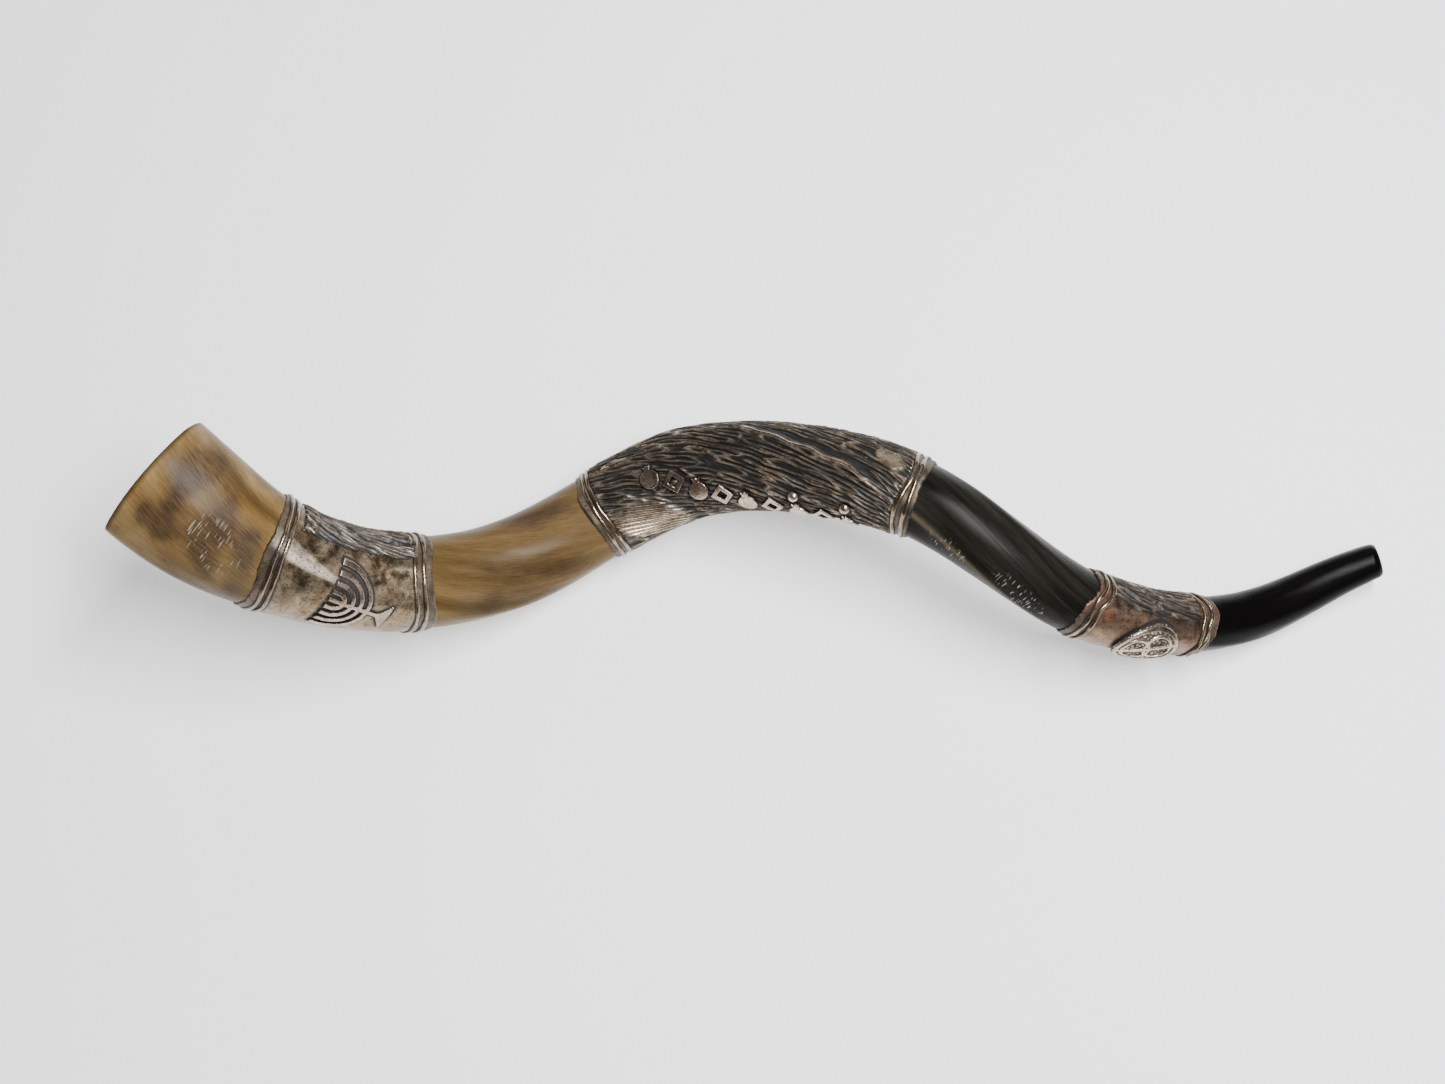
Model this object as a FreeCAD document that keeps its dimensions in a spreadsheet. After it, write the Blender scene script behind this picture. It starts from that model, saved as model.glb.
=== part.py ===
import FreeCAD, Part
import math
import os

# Long kudu-horn shofar with three cast silver sleeves, lying on a table.
# The horn is a corkscrew.  A place on it is given by "run", which goes from 0 at the bell rim
# to 1 at the mouth end, and by a "bearing" in degrees about the centreline, counted from the
# outer side of the coil.  Everything is built about the coil's own axis (+X from bell to
# mouth end) and then laid down on the table by one common placement.

DIMENSIONS = [
    # centreline of the coil, mm and degrees
    ("coil_start", -305.0),
    ("coil_end", 375.0),
    ("rise_bell", 37.0),
    ("rise_mouth", -25.4),
    ("throw_bell", 55.0),
    ("throw_mouth", 28.9),
    ("throw_sag", -2.0),
    ("turn_start", -87.0),
    ("turn_total", 562.9),
    ("turn_ease", -0.151),
    ("coil_flatness", 0.9),
    ("wave_two", 1.4),
    ("wave_three", 1.8),
    ("wave_lag", -4.0),
    # girth of the horn
    ("girth_radius", 26.7),
    ("girth_taper", 15.5),
    ("flare_height", 11.4),
    ("flare_run", 0.0885),
    ("flare_power", 1.9),
    ("nose_depth", 1.8),
    ("nose_run", 0.035),
    ("front_keel_bearing", -58.0),
    ("front_keel_height", 0.9),
    ("back_keel_bearing", 57.0),
    ("back_keel_height", 1.2),
    ("keel_spread", 13.0),
    # hollow of the horn and the drilled mouth end
    ("rim_wall", 4.0),
    ("hollow_fade_start", 0.42),
    ("hollow_fade_end", 0.8),
    ("mouth_bore_radius", 4.0),
    ("mouth_bore_length", 16.0),
    ("cup_radius", 5.5),
    ("cup_depth", 4.0),
    ("dome_radius", 11.6),
    ("dome_centre", 9.4),
    ("dome_length", 3.5),
    # sleeves
    ("bed_thickness", 0.5),
    ("silver_thickness", 0.6),
    ("bark_thickness", 1.5),
    ("wire_radius", 1.1),
    ("wire_wave", 0.0012),
    ("wire_joint_bearing", 120.0),
    ("wire_joint_gap", 1.0),
    ("bell_sleeve_start", 0.0785),
    ("bell_sleeve_end", 0.198),
    ("middle_sleeve_start", 0.339),
    ("middle_sleeve_end", 0.609),
    ("tip_sleeve_start", 0.734),
    ("tip_sleeve_end", 0.8435),
    ("outer_wire_inset", 0.0062),
    ("inner_wire_inset", 0.0120),
    ("bark_inset", 0.0150),
    ("bell_bark_bearing", 179.0),
    ("bell_bark_half_angle", 80.0),
    ("tip_bark_bearing", 194.0),
    ("tip_bark_half_angle", 86.0),
    ("bark_drift", -36.0),
    # candelabrum on the bell sleeve
    ("menorah_run", 0.1433),
    ("menorah_bearing", -42.0),
    ("menorah_tilt", -11.5),
    ("menorah_arm_radius", 20.7),
    ("menorah_arm_pitch", 4.85),
    ("menorah_bar", 2.5),
    ("menorah_leg", 4.3),
    ("menorah_length", 37.0),
    ("menorah_foot_width", 17.5),
    ("menorah_foot_height", 7.8),
    ("menorah_height", 1.3),
    # oval medallion on the tip sleeve
    ("medallion_run", 0.7865),
    ("medallion_bearing", -24.0),
    ("medallion_tilt", 21.0),
    ("medallion_length", 37.5),
    ("medallion_width", 28.0),
    ("medallion_plate", 1.8),
    ("medallion_relief", 1.2),
    ("medallion_rim", 2.2),
    ("medallion_bar", 1.7),
    # row of cast ornaments on the middle sleeve
    ("ornament_first_run", 0.3995),
    ("ornament_last_run", 0.5625),
    ("ornament_bearing", 141.0),
    ("ornament_dip", 13.0),
    ("ornament_size", 13.0),
    ("ornament_height", 1.5),
    ("ornament_reach", 9.0),
    ("bead_radius", 3.2),
    ("bead_bearing_first", 124.0),
    ("bead_bearing_last", 110.0),
]

ORNAMENT_COUNT = 9
# the ornaments that have a bead beside them
BEADED = [6, 8]
ARMS_PER_SIDE = 4
SECTION_POINTS = 36
STATION_STEP = 1.0 / 60
SPEED_STEP = 1.0e-4
# a cubic net runs inside its control points, so circles of them are drawn this much larger
NET_SWELL = 3 / (2 + math.cos(2 * math.pi / SECTION_POINTS))
WIRE_SPANS = 40
# height of a wire's middle over the silver, as a share of its radius
WIRE_LIFT = 0.3
DISC_POINTS = 12
WIRE_LAGS = [20.0, 80.0, 150.0, 230.0]
HOLLOW_PAST = 0.01
WEDGE_STATIONS = 7
WEDGE_REACH = 70.0
# how far the castings' layers stay inside the ends of their sleeves
LAYER_MARGIN = 0.003
REST_ROLL = -71.3
REST_PITCH = 1.8

doc = FreeCAD.newDocument("shofar")
sheet = doc.addObject("Spreadsheet::Sheet", "sizes")
for row, (alias, value) in enumerate(DIMENSIONS, start=1):
    sheet.set("A%d" % row, str(value))
    sheet.setAlias("A%d" % row, alias)
doc.recompute()


def dim(alias):
    """One driving dimension from the sheet."""
    return float(sheet.get(alias))


# ---------------------------------------------------------------- shape of the horn

def turn(run):
    """Angle of the coil about its axis, in radians; zero is straight down."""
    eased = run + dim("turn_ease") * run * (1 - run)
    return math.radians(dim("turn_start") + dim("turn_total") * eased)


def centre(run):
    """Point of the centreline."""
    angle = turn(run)
    throw = dim("throw_bell") + (dim("throw_mouth") - dim("throw_bell")) * run
    throw += dim("throw_sag") * 4 * run * (1 - run)
    rise = dim("rise_bell") + (dim("rise_mouth") - dim("rise_bell")) * run
    wave = dim("wave_three") * math.cos(3 * angle - math.radians(dim("wave_lag")))
    wave -= dim("wave_two") * math.cos(2 * angle)
    return FreeCAD.Vector(
        dim("coil_start") + (dim("coil_end") - dim("coil_start")) * run,
        dim("coil_flatness") * throw * math.sin(angle),
        rise - throw * math.cos(angle) + wave,
    )


def axes(run):
    """Centre, forward, outward and sideways directions at a run."""
    forward = (centre(run + SPEED_STEP) - centre(run - SPEED_STEP)).normalize()
    angle = turn(run)
    away = FreeCAD.Vector(0, dim("coil_flatness") * math.sin(angle), -math.cos(angle))
    outward = (away - forward * away.dot(forward)).normalize()
    return centre(run), forward, outward, forward.cross(outward)


def girth(run):
    """Radius of the horn without its keels."""
    run = min(max(run, 0.0), 1.0)
    flare = dim("flare_height") * math.exp(-((run / dim("flare_run")) ** dim("flare_power")))
    nose = dim("nose_depth") * math.exp(-(1 - run) / dim("nose_run"))
    return dim("girth_radius") - dim("girth_taper") * run ** 2 + flare - nose


def keel(bearing):
    """Height of the two soft keels that follow the coil."""
    height = 0.0
    for name in ("front_keel", "back_keel"):
        gap = (bearing - dim(name + "_bearing") + 180) % 360 - 180
        height += dim(name + "_height") * math.exp(-((gap / dim("keel_spread")) ** 2))
    return height


def radial_at(run, bearing):
    """Direction straight out of the horn."""
    outward, sideways = axes(run)[2:]
    angle = math.radians(bearing)
    return outward * math.cos(angle) + sideways * math.sin(angle)


def skin_point(run, bearing, proud):
    """Point at a height above the horn's surface."""
    radius = girth(run) * (1 + keel(bearing) / dim("girth_radius")) + proud
    return centre(run) + radial_at(run, bearing) * radius


def silver_top():
    """Height of the sleeves' outside over the bare horn."""
    return dim("bed_thickness") + dim("silver_thickness")


def bark_top():
    """Height of the bark castings' outside over the bare horn."""
    return silver_top() + dim("bark_thickness")


def hollow_radius(run):
    """Radius of the natural hollow, which fades into the drilled mouth end."""
    span = dim("hollow_fade_end") - dim("hollow_fade_start")
    part = min(max((run - dim("hollow_fade_start")) / span, 0.0), 1.0)
    fade = 1 - part * part * (3 - 2 * part)
    widest = girth(0) - dim("rim_wall") - dim("mouth_bore_radius")
    share = (girth(run) - girth(1)) / (girth(0) - girth(1))
    return dim("mouth_bore_radius") + widest * share * fade


def spread(spans):
    """Shares from 0 to 1 for the rows of a control net, closer together at its two ends."""
    inner = [i / spans for i in range(1, spans)]
    return [0.0, 1 / (3 * spans)] + inner + [1 - 1 / (3 * spans), 1.0]


def stations(start, end):
    """Runs for the rows of a control net from start to end."""
    spans = max(int(math.ceil((end - start) / STATION_STEP)), 3)
    return [start + (end - start) * share for share in spread(spans)]


def ring(run, proud):
    """Control points of the cross-section at a run, grown by a height."""
    middle = centre(run)
    turn_step = 360.0 / SECTION_POINTS
    points = [skin_point(run, i * turn_step, proud) for i in range(SECTION_POINTS)]
    return [middle + (point - middle) * NET_SWELL for point in points]


def disc(middle, forward, side, radius):
    """Control points of a circle."""
    up = forward.cross(side)
    points = []
    swell = 3 / (2 + math.cos(2 * math.pi / DISC_POINTS))
    for i in range(DISC_POINTS):
        angle = 2 * math.pi * i / DISC_POINTS
        points.append(middle + (side * math.cos(angle) + up * math.sin(angle)) * radius * swell)
    return points


def net_solid(rows):
    """Solid inside a smooth tube over rows of control points, with flat ends."""
    spans = len(rows) - 3
    across = len(rows[0])
    surface = Part.BSplineSurface()
    surface.buildFromPolesMultsKnots(
        rows, [4] + [1] * (spans - 1) + [4], [1] * (across + 1),
        list(range(spans + 1)), list(range(across + 1)), False, True, 3, 3)
    skin = surface.toShape()
    rims = [edge for edge in skin.Edges if edge.isClosed() and not edge.isSeam(skin)]
    shell = Part.Shell([skin] + [Part.Face(Part.Wire([rim])) for rim in rims])
    shell.sewShape()
    return Part.Solid(shell)


# ---------------------------------------------------------------- small builders

def solid(name, shape):
    """Free-form piece whose shape comes from the horn's formula."""
    feature = doc.addObject("Part::Feature", name)
    feature.Shape = shape
    feature.Placement = FreeCAD.Placement()
    return feature


def blank(name, start, end, proud):
    """Horn-shaped solid between two runs, grown by a height."""
    return solid(name, net_solid([ring(run, proud) for run in stations(start, end)]))


def cut(name, base, tool):
    feature = doc.addObject("Part::Cut", name)
    feature.Base = base
    feature.Tool = tool
    return feature


def common(name, base, tool):
    feature = doc.addObject("Part::Common", name)
    feature.Base = base
    feature.Tool = tool
    return feature


def fuse(name, pieces):
    feature = doc.addObject("Part::MultiFuse", name)
    feature.Shapes = pieces
    return feature


def primitive(kind, name, place, **sizes):
    """Part primitive whose sizes are formulas of the sheet's cells."""
    feature = doc.addObject("Part::" + kind, name)
    for prop, formula in sizes.items():
        feature.setExpression(prop, formula)
    feature.Placement = place
    return feature


def seat(run, bearing, tilt, lift):
    """Placement over the horn's surface: X towards the mouth end, Z outwards, then tilted about Z."""
    forward = axes(run)[1]
    radial = radial_at(run, bearing)
    rotation = FreeCAD.Rotation(forward, radial.cross(forward), radial, "ZXY")
    spin = FreeCAD.Rotation(FreeCAD.Vector(0, 0, 1), tilt)
    return FreeCAD.Placement(skin_point(run, bearing, lift), rotation.multiply(spin))


def shifted(place, x, y, z):
    """A placement moved in its own axes."""
    return place.multiply(FreeCAD.Placement(FreeCAD.Vector(x, y, z), FreeCAD.Rotation()))


nodes = []


def keep(feature, label):
    """Marks a finished piece of the shofar."""
    feature.Label = label
    nodes.append(feature)
    return feature


# ---------------------------------------------------------------- horn

def rounded_mouth(body, mouth):
    """The blank with the corner of its mouth end turned down to a dome."""
    over = shifted(mouth, 0, 0, -1)
    collar = primitive("Cylinder", "mouth_collar", over, Radius="1.2 * sizes.dome_radius",
                       Height="sizes.dome_length + 1")
    dome = primitive("Sphere", "mouth_dome", shifted(mouth, 0, 0, dim("dome_centre")),
                     Radius="sizes.dome_radius")
    return cut("horn_rounded", body, cut("mouth_corner", collar, dome))


def make_horn():
    """The natural horn: outside, hollow, drilled bore and cup."""
    rows = []
    for run in stations(-HOLLOW_PAST, 1 + HOLLOW_PAST):
        middle, forward, outward = axes(run)[:3]
        rows.append(disc(middle, forward, outward, hollow_radius(run)))
    hollow = solid("horn_hollow", net_solid(rows))
    inward = FreeCAD.Rotation(FreeCAD.Vector(0, 0, 1), axes(1.0)[1] * -1)
    mouth = FreeCAD.Placement(centre(1.0), inward)
    bore = primitive("Cylinder", "mouth_bore", mouth, Radius="sizes.mouth_bore_radius",
                     Height="sizes.mouth_bore_length")
    cup = primitive("Cone", "mouth_cup", mouth, Radius1="sizes.cup_radius",
                    Radius2="sizes.mouth_bore_radius", Height="sizes.cup_depth")
    opened = cut("horn_opened", rounded_mouth(horn_core, mouth), hollow)
    drilled = cut("horn_drilled", opened, bore)
    return keep(cut("horn_cupped", drilled, cup), "horn")


horn_core = blank("horn_blank", 0.0, 1.0, 0.0)
make_horn()


# ---------------------------------------------------------------- sleeves and their end wires

def make_wire(label, run, lag, cover):
    """Wavy half-sunk ring wire, seated on the silver."""
    lift = silver_top() + WIRE_LIFT * dim("wire_radius")
    rows = []
    for part in spread(WIRE_SPANS):
        bearing = dim("wire_joint_bearing") + 0.5 * dim("wire_joint_gap") \
            + part * (360.0 - dim("wire_joint_gap"))
        sway = math.sin(math.radians(2 * bearing + lag)) + 0.6 * math.sin(math.radians(3 * bearing - lag))
        here = run + dim("wire_wave") * sway
        radial = radial_at(here, bearing)
        along_wire = axes(here)[1].cross(radial)
        rows.append(disc(skin_point(here, bearing, lift), along_wire, radial, dim("wire_radius")))
    rod = solid(label + "_rod", net_solid(rows))
    return keep(cut(label + "_seated", rod, cover), label)


def make_sleeve(name):
    """Resin bed, silver sleeve and two wires at each end."""
    start = dim(name + "_sleeve_start")
    end = dim(name + "_sleeve_end")
    bed = blank(name + "_bed_blank", start, end, dim("bed_thickness"))
    cover = blank(name + "_cover_blank", start, end, silver_top())
    keep(cut(name + "_bed_ring", bed, horn_core), name + "_sleeve_bed")
    keep(cut(name + "_sleeve_ring", cover, bed), name + "_sleeve")
    runs = [start + dim("outer_wire_inset"), start + dim("inner_wire_inset"),
            end - dim("inner_wire_inset"), end - dim("outer_wire_inset")]
    for i, run in enumerate(runs):
        make_wire("%s_sleeve_wire_%d" % (name, i + 1), run, WIRE_LAGS[i], cover)
    return cover


bell_cover = make_sleeve("bell")
middle_cover = make_sleeve("middle")
tip_cover = make_sleeve("tip")


# ---------------------------------------------------------------- bark castings

def inner_wedge(start, end, middle_bearing, half_angle):
    """Large solid that holds only the inner side of the coil between two runs."""
    wires = []
    for i in range(WEDGE_STATIONS):
        share = i / (WEDGE_STATIONS - 1)
        run = start + (end - start) * share
        corners = [centre(run)]
        for part in (-1.0, -0.5, 0.0, 0.5, 1.0):
            bearing = middle_bearing + dim("bark_drift") * (share - 0.5) + part * half_angle
            corners.append(centre(run) + radial_at(run, bearing) * WEDGE_REACH)
        wires.append(Part.makePolygon(corners + [corners[0]]))
    return Part.makeLoft(wires, True, True)


def make_bark_panel(name, cover):
    """Curved panel on the inner side of the coil."""
    start = dim(name + "_sleeve_start") + dim("bark_inset")
    end = dim(name + "_sleeve_end") - dim("bark_inset")
    slab = blank(name + "_bark_blank", start, end, bark_top())
    wedge_shape = inner_wedge(start - LAYER_MARGIN, end + LAYER_MARGIN, dim(name + "_bark_bearing"),
                              dim(name + "_bark_half_angle"))
    panel = common(name + "_bark_slab", slab, solid(name + "_bark_wedge", wedge_shape))
    keep(cut(name + "_bark_seated", panel, cover), name + "_bark_panel")


def make_bark_wrap(cover):
    """Bark casting all round the middle sleeve."""
    start = dim("middle_sleeve_start") + dim("bark_inset")
    end = dim("middle_sleeve_end") - dim("bark_inset")
    wrap = blank("middle_bark_blank", start, end, bark_top())
    keep(cut("middle_bark_ring", wrap, cover), "middle_bark_wrap")
    return wrap


make_bark_panel("bell", bell_cover)
make_bark_panel("tip", tip_cover)
bark_core = make_bark_wrap(middle_cover)


# ---------------------------------------------------------------- stamps for the castings

def outline_pad(name, profiles, length, place):
    """Body with one pad of closed profiles drawn on its own ground plane."""
    body = doc.addObject("PartDesign::Body", name)
    sketch = body.newObject("Sketcher::SketchObject", name + "_outline")
    plane = [f for f in body.Origin.OriginFeatures if f.Role == "XY_Plane"][0]
    sketch.AttachmentSupport = [(plane, "")]
    sketch.MapMode = "FlatFace"
    for curve in profiles:
        sketch.addGeometry(curve)
    pad = body.newObject("PartDesign::Pad", name + "_pad")
    pad.Profile = sketch
    pad.setExpression("Length", length)
    body.Placement = place
    return body


def polygon(corners):
    """Line segments through corners and back to the first."""
    points = [FreeCAD.Vector(x, y, 0) for x, y in corners]
    return [Part.LineSegment(a, b) for a, b in zip(points, points[1:] + points[:1])]


def oval(length, width):
    """Ellipse about the origin, its long axis along X."""
    return Part.Ellipse(FreeCAD.Vector(0, 0, 0), 0.5 * length, 0.5 * width)


def layer(name, sleeve, low, high):
    """Skin between a solid and a height above the horn, inside one sleeve."""
    start = dim(sleeve + "_sleeve_start") + LAYER_MARGIN
    end = dim(sleeve + "_sleeve_end") - LAYER_MARGIN
    return cut(name, blank(name + "_blank", start, end, high), low)


# ---------------------------------------------------------------- candelabrum

def menorah_arm(here, i):
    """One half ring and its two upright ends."""
    top = -0.5 * dim("menorah_length")
    depth = "sizes.menorah_arm_radius"
    outer = "sizes.menorah_arm_radius - %d * sizes.menorah_arm_pitch" % i
    place = shifted(here, top + dim("menorah_leg"), 0, 0)
    towards_mouth = FreeCAD.Placement(FreeCAD.Vector(), FreeCAD.Rotation(FreeCAD.Vector(0, 0, 1), -90))
    half = primitive("Cylinder", "menorah_half_%d" % i, place.multiply(towards_mouth), Radius=outer,
                     Height=depth)
    half.setExpression("Angle", "180")
    hole = primitive("Cylinder", "menorah_hole_%d" % i, place, Radius=outer + " - sizes.menorah_bar",
                     Height=depth)
    pieces = [cut("menorah_arm_%d" % i, half, hole)]
    radius = dim("menorah_arm_radius") - i * dim("menorah_arm_pitch")
    for name, y in (("low", -radius), ("high", radius - dim("menorah_bar"))):
        pieces.append(primitive("Box", "menorah_leg_%s_%d" % (name, i), shifted(here, top, y, 0),
                                Length="sizes.menorah_leg + 0.1", Width="sizes.menorah_bar", Height=depth))
    return pieces


def make_menorah():
    """Nine-branched candelabrum, its lights towards the bell."""
    here = seat(dim("menorah_run"), dim("menorah_bearing"), dim("menorah_tilt"),
                -0.7 * dim("menorah_arm_radius"))
    depth = "sizes.menorah_arm_radius"
    half = 0.5 * dim("menorah_length")
    bars = []
    for i in range(ARMS_PER_SIDE):
        bars += menorah_arm(here, i)
    bars.append(primitive("Box", "menorah_stem_bar", shifted(here, -half, -0.5 * dim("menorah_bar"), 0),
                          Length="sizes.menorah_length - 1", Width="sizes.menorah_bar", Height=depth))
    apex = half - dim("menorah_foot_height")
    wide = 0.5 * dim("menorah_foot_width")
    bars.append(outline_pad("menorah_foot", polygon([(apex, 0), (half, -wide), (half, wide)]), depth, here))
    skin = layer("menorah_layer", "bell", bell_cover, silver_top() + dim("menorah_height"))
    reliefs = [common("menorah_relief_%d" % i, bar, skin) for i, bar in enumerate(bars)]
    keep(fuse("menorah_whole", reliefs), "menorah")


make_menorah()


# ---------------------------------------------------------------- medallion

def make_medallion():
    """Oval plate with a raised rim, two interlaced rings and a stem."""
    here = seat(dim("medallion_run"), dim("medallion_bearing"), dim("medallion_tilt"),
                -dim("ornament_reach"))
    depth = "2 * sizes.ornament_reach"
    length = dim("medallion_length")
    width = dim("medallion_width")
    rim = dim("medallion_rim")
    plate = outline_pad("medallion_blank", [oval(length, width)], depth, here)
    figure = [outline_pad("medallion_band", [oval(length, width), oval(length - 2 * rim, width - 2 * rim)],
                          depth, here)]
    for name, side in (("left", -1), ("right", 1)):
        place = shifted(here, side * 0.17 * length, 0, 0)
        outer = primitive("Cylinder", "medallion_outer_" + name, place,
                          Radius="0.31 * sizes.medallion_width", Height=depth)
        inner = primitive("Cylinder", "medallion_inner_" + name, place,
                          Radius="0.31 * sizes.medallion_width - sizes.medallion_bar", Height=depth)
        figure.append(cut("medallion_ring_" + name, outer, inner))
    stem = shifted(here, -0.46 * length, -0.5 * dim("medallion_bar"), 0)
    figure.append(primitive("Box", "medallion_stem", stem, Length="0.92 * sizes.medallion_length",
                            Width="sizes.medallion_bar", Height=depth))
    plate_top = silver_top() + dim("medallion_plate")
    flat = common("medallion_plate", plate, layer("medallion_plate_layer", "tip", tip_cover, plate_top))
    high = layer("medallion_relief_layer", "tip", tip_cover, plate_top + dim("medallion_relief"))
    relief = common("medallion_relief", fuse("medallion_figure", figure), high)
    keep(fuse("medallion_whole", [flat, relief]), "oval_medallion")


make_medallion()


# ---------------------------------------------------------------- row of ornaments

def pomegranate(size):
    """Round fruit with a three-pointed crown."""
    radius = 0.42 * size
    low = -0.13 * size
    neck = 0.12 * size
    shoulder = math.sqrt(radius ** 2 - neck ** 2)
    start = math.atan2(shoulder, -neck)
    stop = math.atan2(shoulder, neck) + 2 * math.pi
    circle = Part.Circle(FreeCAD.Vector(0, low, 0), FreeCAD.Vector(0, 0, 1), radius)
    fruit = Part.ArcOfCircle(circle, start, stop)
    half_crown = [(neck, low + shoulder), (0.21 * size, 0.5 * size), (0.08 * size, 0.4 * size)]
    crown = half_crown + [(0.0, 0.52 * size)] + [(-x, y) for x, y in reversed(half_crown)]
    return [fruit] + polygon(crown)[:-1]


def lozenge(size):
    """Open lozenge frame."""
    half = 0.53 * size
    inner = 0.27 * size
    frame = polygon([(half, 0), (0, half), (-half, 0), (0, -half)])
    return frame + polygon([(inner, 0), (0, inner), (-inner, 0), (0, -inner)])


def ornament_run(i):
    """Run of one ornament of the row."""
    span = dim("ornament_last_run") - dim("ornament_first_run")
    return dim("ornament_first_run") + span * i / (ORNAMENT_COUNT - 1)


def make_ornament(i, skin):
    """Pomegranate or lozenge in turn."""
    kind, outline = (("pomegranate", pomegranate), ("lozenge", lozenge))[i % 2]
    label = "%s_ornament_%d" % (kind, i // 2 + 1)
    dip = math.sin(math.pi * i / (ORNAMENT_COUNT - 1))
    bearing = dim("ornament_bearing") + dim("ornament_dip") * dip
    here = seat(ornament_run(i), bearing, 0, -0.5 * dim("ornament_reach"))
    stamp = outline_pad(label + "_stamp", outline(dim("ornament_size")), "2 * sizes.ornament_reach", here)
    return keep(common(label + "_relief", stamp, skin), label)


def make_bead(number, i, neighbour):
    """Cast bead that sits on the bark beside an ornament."""
    share = number - 1
    bearing = dim("bead_bearing_first") + share * (dim("bead_bearing_last") - dim("bead_bearing_first"))
    ball = primitive("Sphere", "bead_ball_%d" % number, seat(ornament_run(i), bearing, 0, bark_top()),
                     Radius="sizes.bead_radius")
    loose = cut("bead_loose_%d" % number, ball, bark_core)
    keep(cut("bead_free_%d" % number, loose, neighbour), "cast_bead_%d" % number)


def make_row():
    """Row of cast ornaments, with beads beside some of them."""
    skin = layer("ornament_layer", "middle", bark_core, bark_top() + dim("ornament_height"))
    row = [make_ornament(i, skin) for i in range(ORNAMENT_COUNT)]
    for number, i in enumerate(BEADED, start=1):
        make_bead(number, i, row[i])


make_row()


# ---------------------------------------------------------------- laying down, checks and files

def lay_down():
    """Turns the finished horn to its resting pose and puts its box on the table's origin."""
    roll = FreeCAD.Rotation(FreeCAD.Vector(1, 0, 0), REST_ROLL)
    pitch = FreeCAD.Rotation(FreeCAD.Vector(0, 1, 0), REST_PITCH)
    turned = FreeCAD.Placement(FreeCAD.Vector(), pitch.multiply(roll))
    box = FreeCAD.BoundBox()
    for node in nodes:
        shape = node.Shape.copy()
        shape.Placement = turned
        box.add(shape.optimalBoundingBox(False))
    middle = FreeCAD.Vector(box.Center.x, box.Center.y, box.ZMin)
    place = FreeCAD.Placement(middle * -1, turned.Rotation)
    for node in nodes:
        node.Placement = place
    doc.recompute()
    print("box %.2f x %.2f x %.2f mm" % (box.XLength, box.YLength, box.ZLength))
    print("laid down by %.4f, %.4f, %.4f mm" % tuple(place.Base))


def check_document():
    """Stops on any object that failed to build."""
    for feature in doc.Objects:
        if "Invalid" in feature.State or "Error" in feature.State:
            raise RuntimeError("failed object: " + feature.Name)


def check_pieces():
    """Stops on any piece that isn't one valid solid."""
    for node in nodes:
        shape = node.Shape
        if shape.isNull() or not shape.isValid() or len(shape.Solids) != 1:
            raise RuntimeError("bad piece: " + node.Label)
        print("%-28s %10.1f mm3" % (node.Label, shape.Volume))


doc.recompute()
check_document()
lay_down()
check_document()
check_pieces()
os.makedirs("parts", exist_ok=True)
for node in nodes:
    node.Shape.exportStep("parts/" + node.Label + ".step")
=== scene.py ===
import math

import bpy
import numpy as np
from mathutils import Matrix, Vector, noise as lattice
from mathutils.kdtree import KDTree


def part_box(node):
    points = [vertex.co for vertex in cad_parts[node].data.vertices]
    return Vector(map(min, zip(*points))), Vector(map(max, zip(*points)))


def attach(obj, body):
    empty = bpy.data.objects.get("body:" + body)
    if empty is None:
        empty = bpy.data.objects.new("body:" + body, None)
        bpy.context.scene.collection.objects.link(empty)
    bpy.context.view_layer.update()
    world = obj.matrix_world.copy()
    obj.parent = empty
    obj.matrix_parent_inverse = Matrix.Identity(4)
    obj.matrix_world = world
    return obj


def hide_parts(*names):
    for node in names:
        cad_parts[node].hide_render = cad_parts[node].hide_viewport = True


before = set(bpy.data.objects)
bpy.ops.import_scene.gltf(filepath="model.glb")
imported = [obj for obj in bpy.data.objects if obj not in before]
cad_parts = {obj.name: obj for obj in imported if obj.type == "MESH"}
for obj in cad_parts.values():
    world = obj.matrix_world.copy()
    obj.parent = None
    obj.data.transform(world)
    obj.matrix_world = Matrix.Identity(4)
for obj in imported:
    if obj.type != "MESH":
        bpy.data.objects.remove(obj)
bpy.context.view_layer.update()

# The horn is described as in the CAD: a place on it is a run (0 at the bell rim, 1 at the mouth
# end), a bearing in degrees about the centreline from the outer side of the coil, and a height
# above the bare horn.  Sizes are in millimetres here, and lay() puts points into the row frame.
MM = 0.001
COIL_START, COIL_END = -305.0, 375.0
RISE_BELL, RISE_MOUTH = 37.0, -25.4
THROW_BELL, THROW_MOUTH, THROW_SAG = 55.0, 28.9, -2.0
TURN_START, TURN_TOTAL, TURN_EASE = -87.0, 562.9, -0.151
FLATNESS = 0.9
WAVE_TWO, WAVE_THREE, WAVE_LAG = 1.4, 1.8, -4.0
GIRTH, TAPER = 26.7, 15.5
FLARE, FLARE_RUN, FLARE_POWER = 11.4, 0.0885, 1.9
NOSE, NOSE_RUN = 1.8, 0.035
FRONT_KEEL, FRONT_KEEL_HEIGHT = -58.0, 0.9
BACK_KEEL, BACK_KEEL_HEIGHT = 57.0, 1.2
KEEL_SPREAD = 13.0
NET_STEP = 1.0 / 60
RIM_WALL = 4.0
FADE_START, FADE_END = 0.42, 0.8
BORE, BORE_LENGTH = 4.0, 16.0
CUP, CUP_DEPTH = 5.5, 4.0
BED, SILVER, BARK = 0.5, 0.6, 1.5
SILVER_TOP = BED + SILVER
WIRE = 1.1
BARK_INSET = 0.0150
BARK_DRIFT = -36.0
SLEEVES = {"bell": (0.0785, 0.198), "middle": (0.339, 0.609), "tip": (0.734, 0.8435)}
ROLL, PITCH = math.radians(-71.3), math.radians(1.8)
LENGTH = 777.0


# ---------------------------------------------------------------- shape of the horn

def turn(run):
    return np.radians(TURN_START + TURN_TOTAL * (run + TURN_EASE * run * (1 - run)))


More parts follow.
